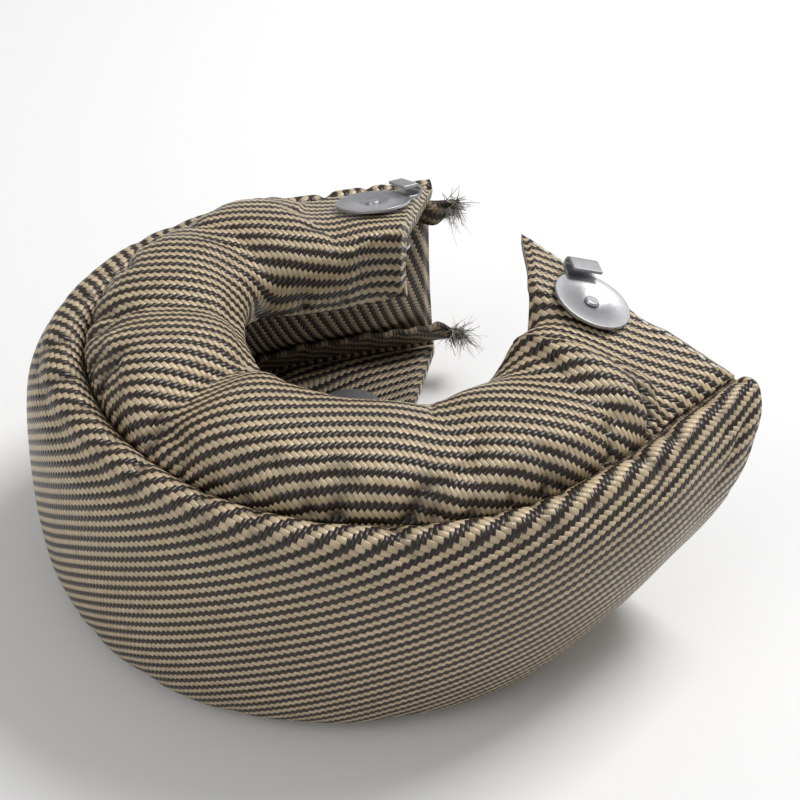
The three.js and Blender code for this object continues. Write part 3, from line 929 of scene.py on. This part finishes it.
stitch_rows = [
    stitch_row("flap_tip_stitches", *end_line(0.72, 0.985), 2.2, 0.5),
    stitch_row("flap_end_stitches", *end_line(0.03, 0.42), 2.0, 1.1),
]
print("stitch rows", [len(piece.data.polygons) for piece in stitch_rows])


# %% [markdown]
# The hook discs are thin stampings with a raised ring and a small dished hub, so a turned profile with a
# rounded edge gives them their soft highlight. The hook is one strip, bent up and back over the disc.

# %% Metal pieces
DISC_RADIUS = 9.3
DISC_THICKNESS = 0.8
DISC_DISH = 0.9
HUB_RADIUS = 2.6
HUB_SLOPE = 1.6
RIVET_RADIUS = 1.1
RIVET_HEAD = 1.9
RIVET_HEAD_HEIGHT = 0.7
RIVET_CLEARANCE = 0.2
HOOK_WIDTH = 7.5
HOOK_REACH = 1.2
HOOK_BEND = 1
HOOK_RETURN = 3.5
HOOK_ROOT = 2
WASHER_RADIUS = 8.3
WASHER_DISH = 1.1
SEAT_CLEARANCE = 0.15  # half of the part's own, so the discs sit a little closer to the cloth
TURN_STEPS = 72
METAL_BEVEL = 0.16
AXIS_HOLE = 0.01


def turned_solid(bm, section):
    """Adds a solid of revolution about Z to a mesh, from a closed section of radius and height."""
    ring = [bm.verts.new((radius, 0, height)) for radius, height in section]
    edges = [bm.edges.new((ring[k], ring[k - 1])) for k in range(len(ring))]
    bmesh.ops.spin(
        bm, geom=ring + edges, axis=(0, 0, 1), cent=(0, 0, 0), angle=math.tau,
        steps=TURN_STEPS, use_merge=True,
    )
    bmesh.ops.remove_doubles(bm, verts=bm.verts[:], dist=1e-4)


def plate_section(radius, dish):
    hole = RIVET_RADIUS + RIVET_CLEARANCE
    ring = HUB_RADIUS + HUB_SLOPE
    lower = [(hole, 0), (HUB_RADIUS, 0), (ring, dish), (radius, dish)]
    return lower + [(r, z + DISC_THICKNESS) for r, z in reversed(lower)]


def rivet_section(pinch):
    top = SEAT_CLEARANCE + DISC_THICKNESS + RIVET_CLEARANCE
    bottom = -pinch - top
    return [
        (AXIS_HOLE, bottom - RIVET_HEAD_HEIGHT), (RIVET_HEAD, bottom - RIVET_HEAD_HEIGHT),
        (RIVET_HEAD, bottom), (RIVET_RADIUS, bottom), (RIVET_RADIUS, top), (RIVET_HEAD, top),
        (RIVET_HEAD * 0.8, top + RIVET_HEAD_HEIGHT), (AXIS_HOLE, top + RIVET_HEAD_HEIGHT),
    ]


def hook_strip(bm):
    """Adds the bent strip that leaves the disc's rim along +X and returns above it."""
    bend_at = DISC_RADIUS + HOOK_REACH
    middle = DISC_DISH + DISC_THICKNESS + HOOK_BEND
    root = DISC_RADIUS - HOOK_ROOT
    end = bend_at - HOOK_RETURN
    outer_bend = HOOK_BEND + DISC_THICKNESS
    turns = [math.radians(angle) for angle in range(-90, 91, 12)]
    outer = [(bend_at + outer_bend * math.cos(a), middle + outer_bend * math.sin(a)) for a in turns]
    inner = [(bend_at + HOOK_BEND * math.cos(a), middle + HOOK_BEND * math.sin(a)) for a in turns[::-1]]
    outline = [(root, DISC_DISH), *outer, (end, middle + outer_bend)]
    outline += [(end, middle + HOOK_BEND), *inner, (root, DISC_DISH + DISC_THICKNESS)]
    corners = [bm.verts.new((x, -HOOK_WIDTH / 2, z)) for x, z in outline]
    side = bm.faces.new(corners)
    grown = bmesh.ops.extrude_face_region(bm, geom=[side])
    moved = [item for item in grown["geom"] if isinstance(item, bmesh.types.BMVert)]
    bmesh.ops.translate(bm, verts=moved, vec=(0, HOOK_WIDTH, 0))


def seat_matrix(one, depth=0.0, flip=False):
    """From a fastener's own frame, in mm, to its seat in the row, in metres."""
    axis = Vector(one["axis"])
    toward = Vector((*one["hook"], 0))
    x = (toward - axis * toward.dot(axis)).normalized()
    y = axis.cross(x)
    basis = Matrix((x, y, axis)).transposed().to_4x4()
    seat = Matrix.Translation(Vector(one["seat"] + SHIFT) - axis * depth)
    mirror = Matrix.Diagonal((1, -1, -1, 1)) if flip else Matrix.Identity(4)
    return Matrix.Scale(MM, 4) @ seat @ basis @ mirror


def metal_piece(name, matrix, section, hook=False):
    bm = bmesh.new()
    turned_solid(bm, section)
    if hook:
        hook_strip(bm)
    bmesh.ops.recalc_face_normals(bm, faces=bm.faces[:])
    bmesh.ops.transform(bm, matrix=matrix, verts=bm.verts[:])
    mesh = bpy.data.meshes.new(name)
    bm.to_mesh(mesh)
    bm.free()
    smooth_faces(mesh)
    piece = add_piece(name, mesh)
    bevel = piece.modifiers.new("soft_edges", "BEVEL")
    bevel.width = METAL_BEVEL * MM
    bevel.segments = 2
    bevel.limit_method = "ANGLE"
    bevel.harden_normals = True
    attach(piece, "root")
    return piece


metal_pieces = []
for name, one in FASTENERS.items():
    here = seat_matrix(one, -SEAT_CLEARANCE)
    below = seat_matrix(one, one["pinch"] + SEAT_CLEARANCE, flip=True)
    disc = metal_piece(f"{name}_hook_plate", here, plate_section(DISC_RADIUS, DISC_DISH), hook=True)
    washer = metal_piece(f"{name}_back_plate", below, plate_section(WASHER_RADIUS, WASHER_DISH))
    pin = metal_piece(f"{name}_pin", seat_matrix(one), rivet_section(one["pinch"]))
    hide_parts(f"{name}_hook_disc")
    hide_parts(f"{name}_washer")
    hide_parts(f"{name}_rivet")
    metal_pieces += [disc, washer, pin]
print("metal pieces", len(metal_pieces))


# %% [markdown]
# The cloth is a 2 and 2 twill: cream warp over dark weft, each yarn over two and under two. The cream and
# the dark are partly the yarn's own colour and partly painted light: a painted sheen on the warp floats and
# painted shade on the weft floats, for the way the two yarn directions catch the light. The pattern is
# worked out from the cloth coordinates, so its yarns are real bumps that turn with the folds.

# %% Weave
YARN_PITCH = 1.02 * MM
CROWN = 0.8
YARN_DEPTH = 0.35 * MM
GRAIN_SCALE = 900
GRAIN_DEPTH = 0.1 * MM


class Wiring:
    """Adds nodes to a tree and joins them, so that a formula reads as one line for each step."""

    def __init__(self, tree):
        self.tree = tree

    def node(self, kind, **values):
        made = self.tree.nodes.new(kind)
        for name, value in values.items():
            setattr(made, name, value)
        return made

    def feed(self, socket, value):
        if isinstance(value, bpy.types.NodeSocket):
            self.tree.links.new(value, socket)
        else:
            socket.default_value = value

    def math(self, operation, a, b=0.0, c=None, clamp=False):
        made = self.node("ShaderNodeMath", operation=operation, use_clamp=clamp)
        self.feed(made.inputs[0], a)
        self.feed(made.inputs[1], b)
        if c is not None:
            self.feed(made.inputs[2], c)
        return made.outputs[0]

    def mix(self, share, a, b):
        made = self.node("ShaderNodeMix", data_type="RGBA")
        self.feed(made.inputs[0], share)
        self.feed(made.inputs[6], a)
        self.feed(made.inputs[7], b)
        return made.outputs[2]


def twill_group():
    """A 2 and 2 twill. In: cloth coordinates. Out: height, which yarn is on top, its own number, and
    painted shade where the yarns dip.
    """
    tree = bpy.data.node_groups.new("twill", "ShaderNodeTree")
    tree.interface.new_socket("Cloth", in_out="INPUT", socket_type="NodeSocketVector")
    for name in ("Pitch", "Crown"):
        tree.interface.new_socket(name, in_out="INPUT", socket_type="NodeSocketFloat")
    for name in ("Height", "Warp", "Tone", "Shade"):
        tree.interface.new_socket(name, in_out="OUTPUT", socket_type="NodeSocketFloat")
    w = Wiring(tree)
    given = w.node("NodeGroupInput")
    result = w.node("NodeGroupOutput")
    split = w.node("ShaderNodeSeparateXYZ")
    tree.links.new(given.outputs["Cloth"], split.inputs[0])
    x = w.math("DIVIDE", split.outputs[0], given.outputs["Pitch"])
    y = w.math("DIVIDE", split.outputs[1], given.outputs["Pitch"])
    column = w.math("FLOOR", x)
    row = w.math("FLOOR", y)

    def yarn(across, number, along, phase):
        """Height of a yarn: its round section, carried over two others and under two."""
        off = w.math("MULTIPLY_ADD", w.math("FRACT", across), 2.0, -1.0)
        left_over = w.math("SUBTRACT", 1.0, w.math("POWER", off, 2.0))
        section = w.math("SQRT", w.math("MAXIMUM", left_over, 0.0))
        beat = w.math("MULTIPLY", w.math("ADD", number, along), math.pi / 2)
        wave = w.math("SINE", w.math("ADD", beat, phase))
        return w.math("MULTIPLY_ADD", wave, given.outputs["Crown"], section)

    warp = yarn(x, column, y, 0.0)
    weft = yarn(y, row, x, math.pi)
    height = w.math("MAXIMUM", warp, weft)
    on_top = w.math("GREATER_THAN", warp, weft)
    apart = w.math("ABSOLUTE", w.math("SUBTRACT", warp, weft))

    def number_noise(number, offset):
        noise = w.node("ShaderNodeTexWhiteNoise", noise_dimensions="1D")
        tree.links.new(w.math("ADD", number, offset), noise.inputs["W"])
        return noise.outputs["Value"]

    tone = w.math("ADD", number_noise(column, 7.3), number_noise(row, 91.7))
    tree.links.new(height, result.inputs["Height"])
    tree.links.new(on_top, result.inputs["Warp"])
    tree.links.new(w.math("MULTIPLY", tone, 0.5), result.inputs["Tone"])
    # Shade is painted shade, darkest at the ends and edges of the floats, where one yarn dips under the
    # other.
    tree.links.new(w.math("MULTIPLY", apart, 1.2, clamp=True), result.inputs["Shade"])
    return tree


TWILL = twill_group()


def linear(red, green, blue):
    """A colour given as it looks on screen, 0 to 1, as Blender's shaders want it."""
    seen = (red, green, blue)
    return tuple(c / 12.92 if c <= 0.04045 else ((c + 0.055) / 1.055) ** 2.4 for c in seen) + (1.0,)


# Painted shade in the pleats: the cover gets darker with each mm of pleat depth.
PLEAT_SHADE_STRENGTH = 0.6  # share of dark for each mm of depth


def woven_material(name, warp, weft, rough=0.5):
    material = bpy.data.materials.new(name)
    material.use_nodes = True
    tree = material.node_tree
    w = Wiring(tree)
    shader = tree.nodes["Principled BSDF"]
    uv = w.node("ShaderNodeUVMap", uv_map="cloth")
    twill = w.node("ShaderNodeGroup", node_tree=TWILL)
    tree.links.new(uv.outputs[0], twill.inputs["Cloth"])
    twill.inputs["Pitch"].default_value = YARN_PITCH
    twill.inputs["Crown"].default_value = CROWN
    # Painted sheen and shade: the warp colour carries a painted sheen and the weft colour painted shade,
    # over the yarn's own colour.
    yarns = w.mix(twill.outputs["Warp"], weft, warp)
    # Painted shade between the yarns: the twill's Shade darkens the yarn colour where the floats dip.
    unshaded_share = w.math("MULTIPLY_ADD", twill.outputs["Shade"], 0.6, 0.4)
    shaded = w.mix(unshaded_share, linear(0.06, 0.05, 0.04), yarns)
    toned = w.mix(w.math("MULTIPLY", twill.outputs["Tone"], 0.3), shaded, linear(0.2, 0.16, 0.12))
    # Painted shade in the pleats, from the pleat depth kept on each cover.
    pleat_shade_depth = w.node("ShaderNodeAttribute", attribute_name="pleat_shade_depth")
    deep = w.math("MULTIPLY", pleat_shade_depth.outputs["Fac"], PLEAT_SHADE_STRENGTH, clamp=True)
    tree.links.new(w.mix(deep, toned, linear(0.11, 0.09, 0.07)), shader.inputs["Base Color"])
    shader.inputs["Roughness"].default_value = rough
    bump = w.node("ShaderNodeBump")
    bump.inputs["Strength"].default_value = 0.8
    bump.inputs["Distance"].default_value = YARN_DEPTH
    tree.links.new(twill.outputs["Height"], bump.inputs["Height"])
    tree.links.new(bump.outputs[0], shader.inputs["Normal"])
    return material


# Each cloth's warp colour is the yarn's colour with a painted sheen, and its weft colour the yarn's colour
# in painted shade.
COVER = woven_material("basalt_twill", linear(0.80, 0.72, 0.59), linear(0.17, 0.13, 0.10), 0.36)
LINING = woven_material("lining_twill", linear(0.66, 0.59, 0.48), linear(0.15, 0.11, 0.09), 0.5)


def plain_material(name, colour, rough, metallic=0.0):
    material = bpy.data.materials.new(name)
    material.use_nodes = True
    tree = material.node_tree
    w = Wiring(tree)
    shader = tree.nodes["Principled BSDF"]
    place = w.node("ShaderNodeTexCoord")
    noise = w.node("ShaderNodeTexNoise")
    noise.inputs["Scale"].default_value = GRAIN_SCALE
    tree.links.new(place.outputs["Object"], noise.inputs["Vector"])
    dark = tuple(c * 0.75 for c in colour[:3]) + (1.0,)
    tree.links.new(w.mix(noise.outputs["Fac"], dark, colour), shader.inputs["Base Color"])
    shader.inputs["Roughness"].default_value = rough
    shader.inputs["Metallic"].default_value = metallic
    bump = w.node("ShaderNodeBump")
    bump.inputs["Strength"].default_value = 0.3
    bump.inputs["Distance"].default_value = GRAIN_DEPTH
    tree.links.new(noise.outputs["Fac"], bump.inputs["Height"])
    tree.links.new(bump.outputs[0], shader.inputs["Normal"])
    return material


WOOL = plain_material("wool", linear(0.85, 0.82, 0.74), 0.95)
STEEL = plain_material("stamped_steel", linear(0.74, 0.74, 0.75), 0.36, 0.85)
# The cut ends also have a painted sheen on the warp and painted shade on the weft.
ENDS = woven_material("cloth_ends", linear(0.50, 0.43, 0.34), linear(0.20, 0.16, 0.13), 0.7)
BROWN_FIBRE = plain_material("brown_fibre", linear(0.36, 0.29, 0.22), 0.8)
GLASS_FIBRE = plain_material("pale_fibre", linear(0.78, 0.78, 0.77), 0.5)
THREAD = plain_material("thread", linear(0.92, 0.91, 0.88), 0.6)


def dress(piece, material):
    piece.data.materials.clear()
    piece.data.materials.append(material)


for cover, wool, back in (front_layers, band_layers, back_layers):
    dress(cover, COVER)
    dress(wool, WOOL)
    dress(back, LINING)
for piece in metal_pieces:
    dress(piece, STEEL)
for piece in (front_strip, back_strip):
    dress(piece, ENDS)
for piece in pale_tufts:
    dress(piece, GLASS_FIBRE)
for piece in brown_tufts:
    dress(piece, BROWN_FIBRE)
for piece in stitch_rows:
    dress(piece, THREAD)


# %% [markdown]
# The floor is pale paper under a soft sky, with a key lamp from behind on the right and a weak fill.

# %% Floor and light
def make_stage():
    bm = bmesh.new()
    bmesh.ops.create_grid(bm, x_segments=1, y_segments=1, size=3)
    mesh = bpy.data.meshes.new("floor")
    bm.to_mesh(mesh)
    bm.free()
    floor = add_piece("floor", mesh)
    material = bpy.data.materials.new("floor_paper")
    material.use_nodes = True
    shader = material.node_tree.nodes["Principled BSDF"]
    shader.inputs["Base Color"].default_value = linear(0.93, 0.93, 0.93)
    shader.inputs["Roughness"].default_value = 0.9
    dress(floor, material)


def make_lamp(name, place, size, power):
    data = bpy.data.lights.new(name, "AREA")
    data.size = size
    data.energy = power
    lamp = bpy.data.objects.new(name, data)
    lamp.location = place
    lamp.rotation_mode = "QUATERNION"
    lamp.rotation_quaternion = (AIM - Vector(place)).to_track_quat("-Z", "Y")
    bpy.context.scene.collection.objects.link(lamp)


def make_light():
    world = bpy.data.worlds.new("studio")
    bpy.context.scene.world = world
    world.use_nodes = True
    world.node_tree.nodes["Background"].inputs["Color"].default_value = (0.9, 0.9, 0.9, 1)
    world.node_tree.nodes["Background"].inputs["Strength"].default_value = 0.44
    make_lamp("key", (0.45, 0.35, 0.8), 0.4, 8)
    make_lamp("fill", (-0.6, -0.5, 0.6), 0.6, 2)


make_stage()
make_light()
bpy.context.scene.view_settings.view_transform = "Standard"
